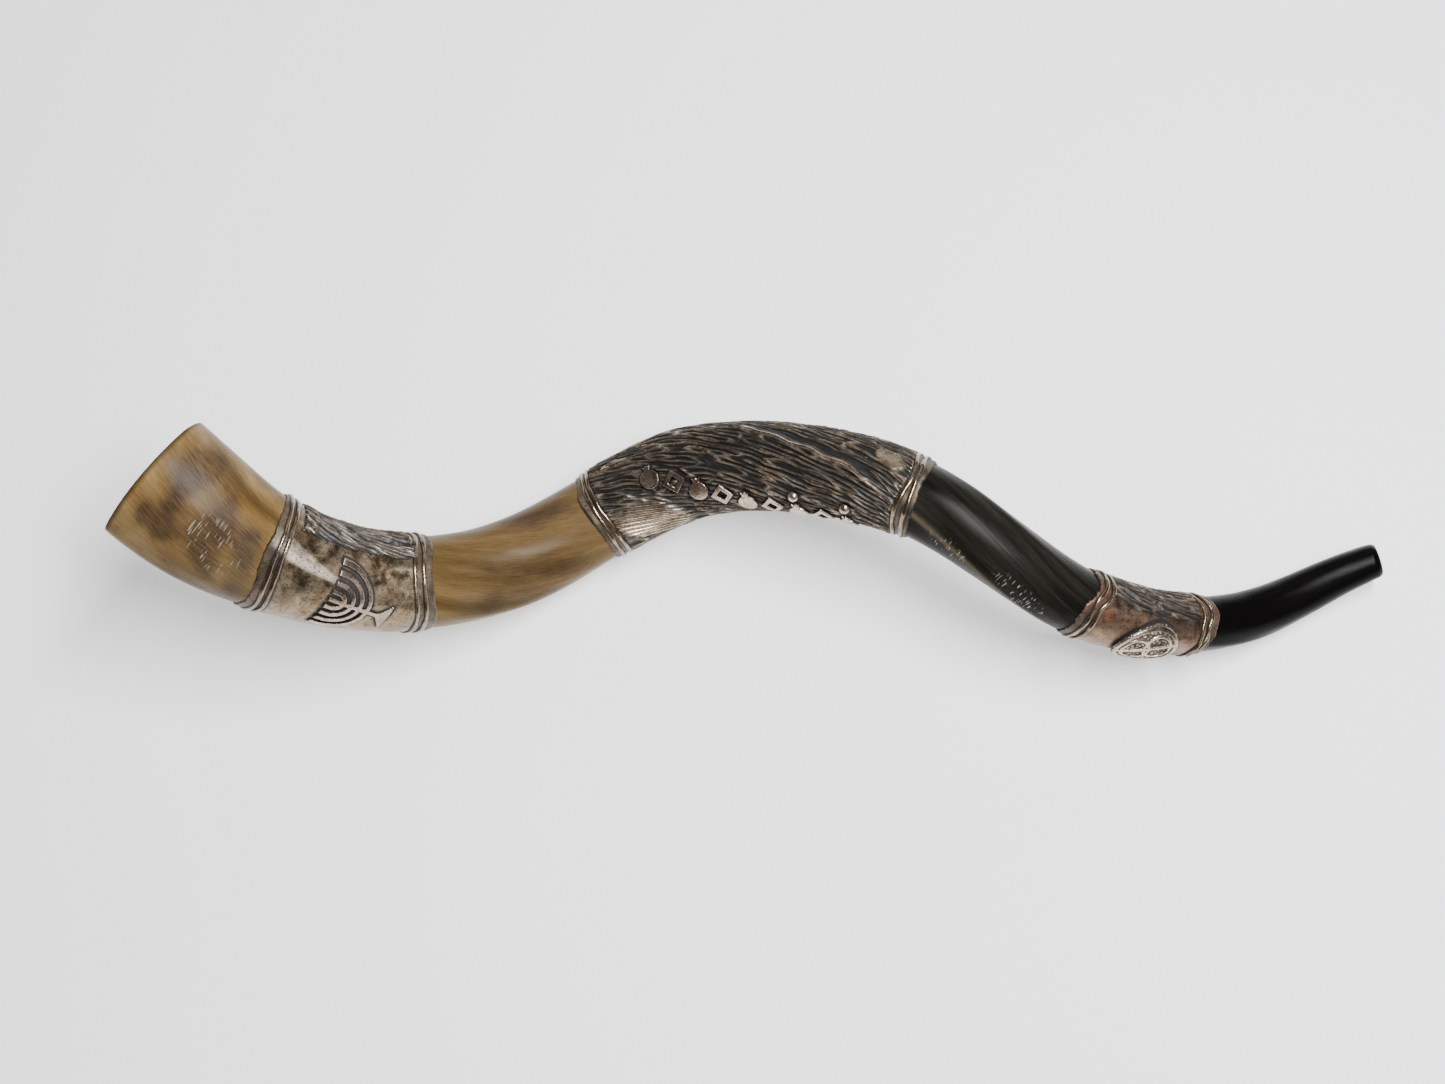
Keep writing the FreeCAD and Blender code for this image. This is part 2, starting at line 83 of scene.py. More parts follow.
def centre(run):
    """Points of the centreline in the coil's own frame."""
    angle = turn(run)
    throw = THROW_BELL + (THROW_MOUTH - THROW_BELL) * run + THROW_SAG * 4 * run * (1 - run)
    wave = WAVE_THREE * np.cos(3 * angle - math.radians(WAVE_LAG)) - WAVE_TWO * np.cos(2 * angle)
    rise = RISE_BELL + (RISE_MOUTH - RISE_BELL) * run
    return np.stack([COIL_START + (COIL_END - COIL_START) * run,
                     FLATNESS * throw * np.sin(angle),
                     rise - throw * np.cos(angle) + wave], -1)


def unit(vectors):
    return vectors / np.linalg.norm(vectors, axis=-1, keepdims=True)


def axes(run):
    """Centre, forward, outward and sideways directions."""
    step = 1e-4
    forward = unit(centre(run + step) - centre(run - step))
    angle = turn(run)
    away = np.stack([0 * angle, FLATNESS * np.sin(angle), -np.cos(angle)], -1)
    outward = unit(away - forward * np.sum(away * forward, -1, keepdims=True))
    return centre(run), forward, outward, np.cross(forward, outward)


def girth(run):
    run = np.clip(run, 0.0, 1.0)
    flare = FLARE * np.exp(-(run / FLARE_RUN) ** FLARE_POWER)
    return GIRTH - TAPER * run ** 2 + flare - NOSE * np.exp(-(1 - run) / NOSE_RUN)


def gap_to(bearing, target):
    """Signed difference of two bearings."""
    return (bearing - target + 180) % 360 - 180


def keel(bearing):
    front = FRONT_KEEL_HEIGHT * np.exp(-(gap_to(bearing, FRONT_KEEL) / KEEL_SPREAD) ** 2)
    return front + BACK_KEEL_HEIGHT * np.exp(-(gap_to(bearing, BACK_KEEL) / KEEL_SPREAD) ** 2)


def bare_radius(run, bearing):
    return girth(run) * (1 + keel(bearing) / GIRTH)


def raw_skin(run, bearing, radius):
    middle, _, outward, sideways = axes(run)
    angle = np.radians(bearing)[..., None]
    return middle + (outward * np.cos(angle) + sideways * np.sin(angle)) * radius[..., None]


def smooth(run, make):
    """The CAD's control nets average their neighbours in this way."""
    low = np.maximum(run - NET_STEP, 0.0)
    high = np.minimum(run + NET_STEP, 1.0)
    step = np.minimum(run - low, high - run)
    return (make(run - step) + 4 * make(run) + make(run + step)) / 6


def skin(run, bearing, proud):
    """Points at a height above the bare horn, in the coil's own frame."""
    run, bearing, proud = np.broadcast_arrays(np.asarray(run, float), np.asarray(bearing, float),
                                              np.asarray(proud, float))
    return smooth(run, lambda r: raw_skin(r, bearing, bare_radius(r, bearing) + proud))


def hollow_radius(run):
    part = np.clip((run - FADE_START) / (FADE_END - FADE_START), 0.0, 1.0)
    widest = girth(0.0) - RIM_WALL - BORE
    share = (girth(run) - girth(1.0)) / (girth(0.0) - girth(1.0))
    return BORE + widest * share * (1 - part * part * (3 - 2 * part))


TURNED = (Matrix.Rotation(PITCH, 3, "Y") @ Matrix.Rotation(ROLL, 3, "X"))
TURN_MATRIX = np.array(TURNED)


def find_shift():
    """Where the coil's own frame lies in the row frame, from the horn's CAD box.

    The mouth end is rounded off, so only the bell's end of the box is used along the horn."""
    runs = np.linspace(0.0, 1.0, 601)[:, None]
    bearings = np.arange(0.0, 360.0, 2.0)[None, :]
    points = (skin(runs, bearings, 0.0) @ TURN_MATRIX.T).reshape(-1, 3)
    low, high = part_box("horn")
    shift = (np.array(low) + np.array(high)) / 2 / MM - (points.min(0) + points.max(0)) / 2
    shift[0] = low[0] / MM - points[:, 0].min()
    return shift


SHIFT = find_shift()


def lay(points):
    """From the coil's own frame in millimetres to the row frame in metres."""
    return (points @ TURN_MATRIX.T + SHIFT) * MM


# ---------------------------------------------------------------- noise

def ease(part):
    return part * part * part * (part * (part * 6 - 15) + 10)


def noise(x, y, period, seed):
    """Gradient noise that repeats in y, about -1 to 1."""
    rng = np.random.default_rng(seed)
    spin = rng.uniform(0, 2 * math.pi, (256, period))
    x, y = np.broadcast_arrays(x, y)
    cell_x = np.floor(x).astype(int)
    cell_y = np.floor(y).astype(int)
    part_x = x - cell_x
    part_y = y - cell_y
    total = 0.0
    for step_x in (0, 1):
        for step_y in (0, 1):
            angle = spin[(cell_x + step_x) % 256, (cell_y + step_y) % period]
            dot = np.cos(angle) * (part_x - step_x) + np.sin(angle) * (part_y - step_y)
            weight_x = ease(part_x) if step_x else 1 - ease(part_x)
            weight_y = ease(part_y) if step_y else 1 - ease(part_y)
            total = total + dot * weight_x * weight_y
    return total * 1.5


def layered(along, share, around, size_along, size_around, seed):
    """Noise over the horn's surface: along in mm, share of the way round, cell sizes in mm."""
    cells = max(int(round(around / size_around)), 2)
    return noise(along / size_along, share * cells, cells, seed)


def between(value, low, high):
    """Smooth step from 0 to 1."""
    part = np.clip((value - low) / (high - low), 0.0, 1.0)
    return part * part * (3 - 2 * part)


# ---------------------------------------------------------------- mesh building

def new_object(name, points, faces, attributes, material):
    mesh = bpy.data.meshes.new(name)
    mesh.from_pydata(points.tolist(), [], faces)
    mesh.validate()
    for key, values in attributes.items():
        layer = mesh.attributes.new(key, "FLOAT", "POINT")
        layer.data.foreach_set("value", np.asarray(values, np.float32).ravel())
    mesh.shade_smooth()
    mesh.materials.append(material)
    obj = bpy.data.objects.new(name, mesh)
    bpy.context.scene.collection.objects.link(obj)
    return obj


def quads(rows, columns, wrap_rows, wrap_columns):
    """Faces of a grid of rows by columns."""
    down = np.arange(rows if wrap_rows else rows - 1)
    across = np.arange(columns if wrap_columns else columns - 1)
    i, j = np.meshgrid(down, across, indexing="ij")
    k = (i + 1) % rows
    n = (j + 1) % columns
    faces = np.stack([i * columns + j, i * columns + n, k * columns + n, k * columns + j], -1)
    return faces.reshape(-1, 4).tolist()


def loop_object(name, rows, attributes, material):
    """Closed surface whose rows and columns both join up with themselves."""
    rows = np.asarray(rows)
    faces = quads(rows.shape[0], rows.shape[1], True, True)
    return new_object(name, lay(rows.reshape(-1, 3)), faces, attributes, material)


def finish_piece(obj, slot, *nodes):
    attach(obj, "root")
    if nodes:
        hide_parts(*nodes)
    return obj


# ---------------------------------------------------------------- shader building

def new_material(name):
    material = bpy.data.materials.new(name)
    material.use_nodes = True
    tree = material.node_tree
    shader = tree.nodes["Principled BSDF"]
    return material, tree, shader


def link(tree, source, target):
    tree.links.new(source, target)


def read(tree, name):
    node = tree.nodes.new("ShaderNodeAttribute")
    node.attribute_name = name
    return node.outputs["Fac"]


def math_node(tree, operation, a, b=0.0, clamp=False):
    node = tree.nodes.new("ShaderNodeMath")
    node.operation = operation
    node.use_clamp = clamp
    for socket, value in zip(node.inputs, (a, b)):
        if isinstance(value, (int, float)):
            socket.default_value = value
        else:
            link(tree, value, socket)
    return node.outputs[0]


def ramp(tree, value, stops, mode="LINEAR"):
    """Colour ramp: stops are (position, (r, g, b))."""
    node = tree.nodes.new("ShaderNodeValToRGB")
    node.color_ramp.interpolation = mode
    band = node.color_ramp.elements
    while len(band) > 1:
        band.remove(band[-1])
    band[0].position = stops[0][0]
    band[0].color = (*stops[0][1], 1)
    for position, colour in stops[1:]:
        band.new(position).color = (*colour, 1)
    link(tree, value, node.inputs[0])
    return node.outputs[0]


def grey_ramp(tree, value, stops):
    return ramp(tree, value, [(position, (shade, shade, shade)) for position, shade in stops])


def mix(tree, factor, a, b, blend="MIX"):
    node = tree.nodes.new("ShaderNodeMix")
    node.data_type = "RGBA"
    node.blend_type = blend
    for socket, value in zip((node.inputs[0], node.inputs[6], node.inputs[7]), (factor, a, b)):
        if isinstance(value, (int, float)):
            socket.default_value = value
        elif isinstance(value, tuple):
            socket.default_value = (*value, 1)
        else:
            link(tree, value, socket)
    return node.outputs[2]


def surface_vector(tree, along_scale, around_scale):
    """Vector from the piece's own along, around and height attributes."""
    node = tree.nodes.new("ShaderNodeCombineXYZ")
    link(tree, math_node(tree, "MULTIPLY", read(tree, "along"), along_scale), node.inputs[0])
    angle = math_node(tree, "MULTIPLY", read(tree, "bearing"), math.pi / 180)
    link(tree, math_node(tree, "MULTIPLY", math_node(tree, "COSINE", angle), around_scale), node.inputs[1])
    link(tree, math_node(tree, "MULTIPLY", math_node(tree, "SINE", angle), around_scale), node.inputs[2])
    return node.outputs[0]


def texture(tree, vector, scale, detail=4.0, roughness=0.55, distortion=0.0):
    node = tree.nodes.new("ShaderNodeTexNoise")
    node.inputs["Scale"].default_value = scale
    node.inputs["Detail"].default_value = detail
    node.inputs["Roughness"].default_value = roughness
    node.inputs["Distortion"].default_value = distortion
    link(tree, vector, node.inputs["Vector"])
    return node.outputs["Fac"]


def object_vector(tree):
    node = tree.nodes.new("ShaderNodeTexCoord")
    return node.outputs["Object"]


def bump(tree, shader, height, strength, distance):
    node = tree.nodes.new("ShaderNodeBump")
    node.inputs["Strength"].default_value = strength
    node.inputs["Distance"].default_value = distance
    link(tree, height, node.inputs["Height"])
    link(tree, node.outputs[0], shader.inputs["Normal"])


# ---------------------------------------------------------------- materials

def horn_material():
    """Polished natural horn: tan bell, honey middle, black mouth end, grain along its length."""
    material, tree, shader = new_material("polished_horn")
    run = read(tree, "run")
    streak = texture(tree, surface_vector(tree, 0.010, 2.0), 2.2, 5.0, 0.55, 0.3)
    fine = texture(tree, surface_vector(tree, 0.055, 23.0), 2.6, 3.0, 0.6)
    soft = texture(tree, surface_vector(tree, 0.030, 1.2), 1.5, 4.0, 0.55, 0.4)
    tan = ramp(tree, soft, [(0.32, (0.130, 0.076, 0.026)), (0.50, (0.200, 0.122, 0.045)),
                            (0.66, (0.265, 0.172, 0.072))])
    honey = ramp(tree, streak, [(0.30, (0.100, 0.060, 0.023)), (0.48, (0.128, 0.079, 0.032)),
                                (0.62, (0.150, 0.096, 0.042)), (0.76, (0.180, 0.119, 0.058))])
    dark = ramp(tree, streak, [(0.34, (0.0050, 0.0045, 0.0034)), (0.50, (0.0095, 0.0085, 0.0066)),
                               (0.66, (0.0160, 0.0148, 0.0122)), (0.80, (0.0250, 0.0230, 0.0190))])
    light = mix(tree, grey_ramp(tree, run, [(0.10, 0.0), (0.22, 1.0)]), tan, honey)
    body = mix(tree, grey_ramp(tree, run, [(0.42, 0.0), (0.56, 1.0)]), light, dark)
    whole = mix(tree, grey_ramp(tree, run, [(0.74, 0.0), (0.84, 1.0)]), body, (0.0022, 0.0020, 0.0019))
    torn = grey_ramp(tree, fine, [(0.30, 1.0), (0.70, 0.62)])
    ragged = math_node(tree, "MULTIPLY", read(tree, "cloud"), torn)
    clouded = mix(tree, ragged, whole, (0.033, 0.021, 0.017))
    # painted shade in dark olive: the strip beside the front keel and the horn's upper and lower edges,
    # plus the rim's own brown line
    olive_shade = mix(tree, read(tree, "olive_shade"), clouded, (0.048, 0.028, 0.008))
    # pale colour for the black section's tan keel line, which is the horn's own colour, and for painted
    # sheen on the lighter parts
    keel_lined_and_sheened = mix(tree, read(tree, "keel_line_and_sheen"), olive_shade, (0.150, 0.120, 0.076))
    fibres = grey_ramp(tree, fine, [(0.32, 0.20), (0.50, 0.90), (0.70, 1.0)])
    grain = mix(tree, 0.42, keel_lined_and_sheened, fibres, "MULTIPLY")
    scuff = texture(tree, surface_vector(tree, 1.5, 4.4), 1.0, 0.0, 0.4, 0.4)
    scratch = grey_ramp(tree, scuff, [(0.66, 0.0), (0.72, 0.8)])
    scratch = math_node(tree, "MULTIPLY", scratch, read(tree, "scuffed"))
    worn = mix(tree, scratch, grain, (0.30, 0.27, 0.22))
    inside = ramp(tree, streak, [(0.3, (0.035, 0.021, 0.011)), (0.7, (0.110, 0.070, 0.036))])
    final = mix(tree, read(tree, "inside"), worn, inside)
    link(tree, final, shader.inputs["Base Color"])
    rough = grey_ramp(tree, fine, [(0.3, 0.21), (0.7, 0.31)])
    link(tree, math_node(tree, "MAXIMUM", rough, math_node(tree, "MULTIPLY", read(tree, "inside"), 0.6)),
         shader.inputs["Roughness"])
    shader.inputs["IOR"].default_value = 1.13
    height = math_node(tree, "SUBTRACT", fine, math_node(tree, "MULTIPLY", scratch, 0.6))
    bump(tree, shader, height, 0.16, 0.0004)
    return material


def silver_material(name, base, bright, copper, levels, rough_low, rough_high):
    """Antiqued silver: mottled, coppery in patches, blackened where relief is low or shade is high, and
    near-white on the polished keel facet, where a highlight is painted.
    """
    material, tree, shader = new_material(name)
    place = object_vector(tree)
    mottle = texture(tree, place, 120.0, 6.0, 0.65, 0.5)
    patch = texture(tree, place, 55.0, 3.0, 0.5, 0.3)
    speck = texture(tree, place, 850.0, 3.0, 0.6)
    metal = mix(tree, grey_ramp(tree, mottle, [(0.38, 0.0), (0.64, 1.0)]), base, bright)
    tinted = mix(tree, grey_ramp(tree, patch, [(0.50, 0.0), (0.68, 0.8)]), metal, copper)
    # polished facet with a painted highlight: near-white colour where that mask is high
    polished_and_highlit = mix(tree, read(tree, "polish_and_highlight"), tinted, (1.0, 0.84, 0.68))
    spotted = mix(tree, grey_ramp(tree, speck, [(0.32, 0.85), (0.47, 0.0)]), polished_and_highlit,
                  tuple(0.30 * c for c in base))
    low = grey_ramp(tree, read(tree, "relief"), levels)
    soot = math_node(tree, "MAXIMUM", low, read(tree, "shade"), clamp=True)
    colour = mix(tree, soot, spotted, (0.0100, 0.0095, 0.0095))
    link(tree, colour, shader.inputs["Base Color"])
    link(tree, math_node(tree, "SUBTRACT", 1.0, math_node(tree, "MULTIPLY", soot, 0.6)),
         shader.inputs["Metallic"])
    rough = grey_ramp(tree, mottle, [(0.3, rough_low), (0.7, rough_high)])
    rough = math_node(tree, "ADD", rough, math_node(tree, "MULTIPLY", soot, 0.25))
    rough = math_node(tree, "SUBTRACT", rough, math_node(tree, "MULTIPLY", read(tree, "polish_and_highlight"), 0.08))
    link(tree, rough, shader.inputs["Roughness"])
    bump(tree, shader, speck, 0.35, 0.0002)
    return material


def resin_material():
    material, tree, shader = new_material("filled_resin")
    speck = texture(tree, object_vector(tree), 500.0, 4.0)
    link(tree, ramp(tree, speck, [(0.3, (0.012, 0.010, 0.008)), (0.7, (0.035, 0.030, 0.024))]),
         shader.inputs["Base Color"])
    link(tree, grey_ramp(tree, speck, [(0.3, 0.55), (0.7, 0.8)]), shader.inputs["Roughness"])
    bump(tree, shader, speck, 0.3, 0.0003)
    return material


HORN_SKIN = horn_material()
ANTIQUE = silver_material(
    "antique_silver", base=(0.105, 0.075, 0.045), bright=(0.36, 0.285, 0.190), copper=(0.27, 0.170, 0.098),
    levels=[(0.0, 0.9), (0.5, 0.0)], rough_low=0.24, rough_high=0.44)
COPPERY = silver_material(
    "coppery_silver", base=(0.120, 0.074, 0.048), bright=(0.24, 0.165, 0.115), copper=(0.33, 0.150, 0.085),
    levels=[(0.0, 0.9), (0.5, 0.0)], rough_low=0.26, rough_high=0.48)
BARK_SILVER = silver_material(
    "bark_silver", base=(0.17, 0.128, 0.090), bright=(0.56, 0.450, 0.330), copper=(0.40, 0.280, 0.180),
    levels=[(0.0, 1.0), (0.34, 0.97), (0.62, 0.74), (0.90, 0.0)], rough_low=0.15, rough_high=0.27)
POLISHED = silver_material(
    "polished_silver", base=(0.29, 0.215, 0.165), bright=(0.52, 0.415, 0.335), copper=(0.42, 0.285, 0.205),
    levels=[(0.0, 0.98), (0.45, 0.88), (0.88, 0.0)], rough_low=0.18, rough_high=0.32)
WIRE_SILVER = silver_material(
    "wire_silver", base=(0.13, 0.094, 0.060), bright=(0.38, 0.295, 0.205), copper=(0.28, 0.178, 0.108),
    levels=[(0.0, 0.98), (0.58, 0.88), (0.96, 0.0)], rough_low=0.15, rough_high=0.28)
RESIN = resin_material()


# ---------------------------------------------------------------- horn

# dark clouds on the front of the horn: run, bearing, half length in mm along, half width in
# degrees, strength
CLOUDS = [(0.0245, -60, 7.0, 22, 0.95), (0.0242, -28, 5.2, 28, 1.05), (0.0215, 9, 7.5, 15, 1.05),
          (0.0165, -40, 7.5, 26, 0.65), (0.0110, 13, 3.2, 10, 0.85), (0.0420, -57, 6.0, 16, 0.70),
          (0.0445, -30, 8.0, 18, 1.05), (0.0410, -3, 7.5, 16, 0.90), (0.0530, 8, 7.0, 16, 0.75),
          (0.0640, -38, 8.0, 18, 0.85), (0.0680, -20, 7.5, 20, 0.85), (0.0740, 20, 5.0, 22, 0.80),
          (0.2400, -82, 8.0, 15, 0.80), (0.2480, -120, 13.0, 13, 0.62), (0.2780, -122, 16.0, 14, 0.72),
          (0.3030, -120, 15.0, 14, 0.70), (0.2350, -66, 12.0, 10, 0.45), (0.2620, -92, 13.0, 14, 0.50),
          (0.3080, 162, 24.0, 24, 0.75), (0.2780, -206, 20.0, 14, 0.45)]
SCUFFS = [(0.050, -12, 14.0, 22), (0.6400, 62, 12.0, 16), (0.6950, 36, 16.0, 20)]


def spot(run, bearing, place, angle, length, width):
    """Soft oval spot on the horn, 1 in its middle."""
    along = (run - place) * LENGTH / length
    return np.exp(-along ** 2 - (gap_to(bearing, angle) / width) ** 2)


def horn_marks(run, bearing):
    """Masks for the horn's colours: clouds, painted shade (an olive strip beside the front keel and
    darkened upper and lower edges), the pale keel line with painted sheen, and scuffed places.
    """
    share = bearing / 360.0
    along = run * LENGTH
    warp = 5.0 * layered(along, share, 200.0, 26.0, 22.0, 301) / LENGTH
    turn_warp = 9.0 * layered(along, share, 200.0, 16.0, 30.0, 302)
    cloud = 0.0 * run
    for place, angle, length, width, strength in CLOUDS:
        cloud = cloud + strength * spot(run + warp, bearing + turn_warp, place, angle, length, width)
    front = -90.0 - np.degrees(turn(run))
    behind = between(np.abs(gap_to(bearing, front)), 70.0, 105.0) * (1 - between(run, 0.33, 0.36))
    random = between(layered(along, share, 200.0, 13.0, 34.0, 303), 0.0, 0.55)
    cloud = np.clip(cloud + 0.65 * behind * random, 0.0, 0.95)
    # painted shade: a dark olive strip beside the front keel, near the bell rim
    strip = gap_to(bearing + 0.5 * turn_warp, -74.0) / 9.0
    olive_shade = 0.80 * np.exp(-strip ** 2) * between(run, 0.012, 0.03)
    # painted shade: dark bands along the horn's upper and lower edges, on the bell and the honey section
    upper = 0.45 * between(-gap_to(bearing, -100.0), -18.0, 12.0)
    upper = upper * between(gap_to(bearing, -170.0), 0.0, 30.0)
    lower = 0.55 * between(gap_to(bearing, 56.0 - 450.0 * run), 0.0, 12.0)
    lower = lower * between(-gap_to(bearing, 110.0), 0.0, 30.0)
    edge_shade = np.maximum(upper, lower * (1 - between(run, 0.07, 0.12)))
    olive_shade = np.maximum(olive_shade, edge_shade) * (1 - between(run, 0.30, 0.36))
    # the bell rim's own thin brown line goes into the same mask as the painted shade
    rim = 0.85 * (1 - between(run, 0.0009, 0.0035))
    keel_line = np.exp(-(gap_to(bearing, BACK_KEEL + 2.0) / 4.6) ** 2) * between(run, 0.60, 0.61)
    keel_line = 0.55 * keel_line * (1 - between(run, 0.69, 0.74))
    # painted sheen: soft pale patches over the bell and the honey section stand in for highlights
    painted_sheen = 0.22 * between(layered(along, share, 200.0, 40.0, 30.0, 304), 0.1, 0.7)
    painted_sheen = painted_sheen * (1 - between(run, 0.30, 0.34))
    scuffed = sum(spot(run, bearing, *scuff) for scuff in SCUFFS)
    return {"cloud": cloud, "olive_shade": np.clip(np.maximum(olive_shade, rim), 0, 1),
            "keel_line_and_sheen": np.clip(keel_line + painted_sheen, 0, 1), "scuffed": between(scuffed, 0.25, 0.6)}


def make_horn():
    """Outside, rounded mouth end, cup, bore, hollow and rounded bell rim in one closed skin."""
    around = 144
    bearings = np.arange(around) * 360.0 / around
    ones = np.ones(around)
    rim_round, mouth_round = 0.9, 2.6
    rows, marks = [], []

    def add(run, radius, inside):
        runs = np.full(around, run)
        rows.append(smooth(runs, lambda r: raw_skin(r, bearings, radius(r))))
        marks.append((run, inside))

    def end_row(run, back, radius, inside):
        """A row set back from an end plane, along the end's own axis."""
        _, forward, outward, sideways = axes(np.array([run]))
        middle = smooth(np.array([run]), centre)
        angle = np.radians(bearings)[:, None]
        radial = outward * np.cos(angle) + sideways * np.sin(angle)
        sign = 1.0 if run < 0.5 else -1.0
        rows.append(middle + forward * sign * back + radial * radius[:, None])
        marks.append((run, inside))

    def mouth_end():
        for step in np.linspace(15, 90, 6):
            turned = math.radians(step)
            back = mouth_round * (1 - math.sin(turned))
            radius = bare_radius(1.0, bearings) - mouth_round * (1 - math.cos(turned))
            end_row(1.0, back, radius, 0.0)
        end_row(1.0, 0.05, ones * (CUP + 0.1), 0.0)
        for part in (0.1, 0.4, 0.7, 1.0):
            end_row(1.0, CUP_DEPTH * part, ones * (CUP + (BORE - CUP) * part), 0.3)
        end_row(1.0, BORE_LENGTH, ones * BORE, 0.7)

    def bell_rim():
        reach = 0.5 * (bare_radius(0.0, bearings) - hollow_radius(0.0))
        middle = 0.5 * (bare_radius(0.0, bearings) + hollow_radius(0.0))
        for step in np.linspace(20, 160, 8):
            turned = math.radians(step)
            flat = np.sign(math.cos(turned)) * abs(math.cos(turned)) ** 0.45
            back = rim_round * (1 - math.sin(turned) ** 0.6)
            end_row(0.0, back, middle - reach * flat, 1.0 if step < 90 else 0.0)

    for run in np.linspace(rim_round / LENGTH, 1 - mouth_round / LENGTH, 440):
        lumps = 0.10 * layered(run * LENGTH, bearings / 360.0, 150.0, 22.0, 20.0, 5)
        add(run, lambda r, lumps=lumps: bare_radius(r, bearings) + lumps, 0.0)
    mouth_end()
    for run in np.linspace(1 - 1.6 * BORE_LENGTH / LENGTH, 0.02, 100):
        add(run, lambda r: hollow_radius(r) * ones, 1.0)
    for run in np.linspace(0.018, rim_round / LENGTH, 8):
        add(run, lambda r: hollow_radius(r) * ones, 1.0)
    bell_rim()
    run_marks = np.repeat([m[0] for m in marks], around)
    turns = np.tile(bearings, len(rows))
    attributes = {"run": run_marks, "inside": np.repeat([m[1] for m in marks], around),
                  "along": run_marks * LENGTH, "bearing": turns}
    attributes.update(horn_marks(run_marks, turns))
    piece = loop_object("polished_horn", rows, attributes, HORN_SKIN)
    return finish_piece(piece, "horn", "horn")


# ---------------------------------------------------------------- sleeves, wires and bark

# How the lip and the two wires wander at each end of each sleeve: (bearing, mm along the horn
# from the end's own place), chosen and joined up smoothly all the way round.
WANDER = {
    ("bell", 0): {"lip": [(-130, -1.8), (-49, -2.3), (14, 3.0), (110, 0.5)],
                  "outer": [(-132, 1.8), (-57, 2.9), (16, 7.5), (110, 4.8)],
                  "inner": [(-134, 6.4), (-61, 6.0), (13, 10.6), (110, 9.3)]},
    ("bell", 1): {"lip": [(-168, 3.2), (-107, -3.0), (-36, 2.2), (70, 0.0)],
                  "outer": [(-178, -2.5), (-103, -8.5), (-25, -4.0), (70, -4.8)],
                  "inner": [(-176, -7.1), (-101, -14.0), (-24, -8.6), (70, -9.3)]},
    ("middle", 0): {"lip": [(121, 2.8), (164, -1.8), (-127, 1.0), (-10, 0.0)],
                    "outer": [(108, 7.5), (166, 4.6), (-162, 5.2), (-112, 5.0), (0, 4.8)],
                    "inner": [(92, 10.6), (168, 7.8), (-160, 9.5), (-91, 10.0), (0, 9.3)]},
    ("middle", 1): {"lip": [(-50, -2.0), (5, -1.0), (51, 1.0), (101, 1.6), (-160, 0.0)],
                    "outer": [(-45, -7.2), (13, -4.1), (50, -2.8), (110, -1.6), (-160, -4.8)],
                    "inner": [(-43, -11.3), (17, -6.4), (73, -8.2), (109, -6.7), (-160, -9.3)]},
    ("tip", 0): {"lip": [(-102, 0.2), (-80, 2.8), (-28, -2.4), (32, -1.9), (130, 0.0)],
                 "outer": [(-89, 6.8), (-42, 2.3), (7, 2.8), (130, 4.8)],
                 "inner": [(-86, 11.5), (-38, 5.9), (10, 6.4), (130, 9.3)]},
    ("tip", 1): {"lip": [(163, 0.5), (-129, 4.0), (-89, 0.5), (-52, -4.5), (60, 0.0)],
                 "outer": [(179, -6.1), (-132, -2.0), (-86, -6.1), (-37, -10.4), (60, -4.8)],
                 "inner": [(-174, -11.6), (-128, -7.6), (-84, -10.2), (-21, -13.4), (60, -9.3)]},
}
RAGGED_LIP = {("tip", 0): 1.9}


def wander(name, end, what, bearings, seed):
    """Runs of a lip or wire at the given bearings."""
    points = sorted(WANDER[name, end][what])
    angles = np.array([p[0] for p in points], float)
    values = np.array([p[1] for p in points], float)
    place = (bearings + 180.0) % 360.0 - 180.0
    spread = np.concatenate([angles - 360.0, angles, angles + 360.0])
    i = np.searchsorted(spread, place, side="right") - 1
    part = between(place, spread[i], spread[i + 1])
    repeated = np.concatenate([values, values, values])
    smooth_line = repeated[i] * (1 - part) + repeated[i + 1] * part
    share = bearings / 360.0
    ragged = 0.30 * layered(0.0, share, 120.0, 20.0, 7.0, seed)
    if what == "lip":
        rough = RAGGED_LIP.get((name, end), 0.8)
        ragged = rough * (ragged + 0.55 * layered(0.0, share, 120.0, 20.0, 2.4, seed + 1))
    return SLEEVES[name][end] + (smooth_line + ragged) / LENGTH


def ring_shell(name, start, end, low, top, along_count, material, marks):
    """Closed sleeve between two ragged lips.

    top gives the height at a run and bearing, and marks the relief and shade there."""
    around = len(start)
    bearings = np.arange(around) * 360.0 / around
    parts = np.linspace(0.0, 1.0, along_count)[:, None]
    runs = start[None, :] + (end - start)[None, :] * parts
    turns = np.broadcast_to(bearings, runs.shape)
    heights = top(runs, turns)
    edge = np.minimum(parts, 1 - parts) * (end - start)[None, :] * LENGTH
    heights = low + (heights - low) * np.sqrt(np.clip(edge / 0.9 + 0.15, 0.0, 1.0))
    inner_parts = np.linspace(1.0, 0.0, 24)[:, None]
    inner_runs = start[None, :] + (end - start)[None, :] * inner_parts
    all_runs = np.concatenate([runs, inner_runs])
    all_heights = np.concatenate([heights, np.full(inner_runs.shape, low)])
    all_bearings = np.broadcast_to(bearings, all_runs.shape)
    relief, shade, polish_and_highlight = [np.concatenate([mark, np.zeros(inner_runs.shape)]) for mark in marks(runs, turns)]
    attributes = {"run": all_runs, "along": all_runs * LENGTH, "bearing": all_bearings,
                  "relief": relief, "shade": shade, "polish_and_highlight": polish_and_highlight}
    return loop_object(name, skin(all_runs, all_bearings, all_heights), attributes, material)


def plain_marks(runs, bearings):
    return np.ones(runs.shape), np.zeros(runs.shape), np.zeros(runs.shape)


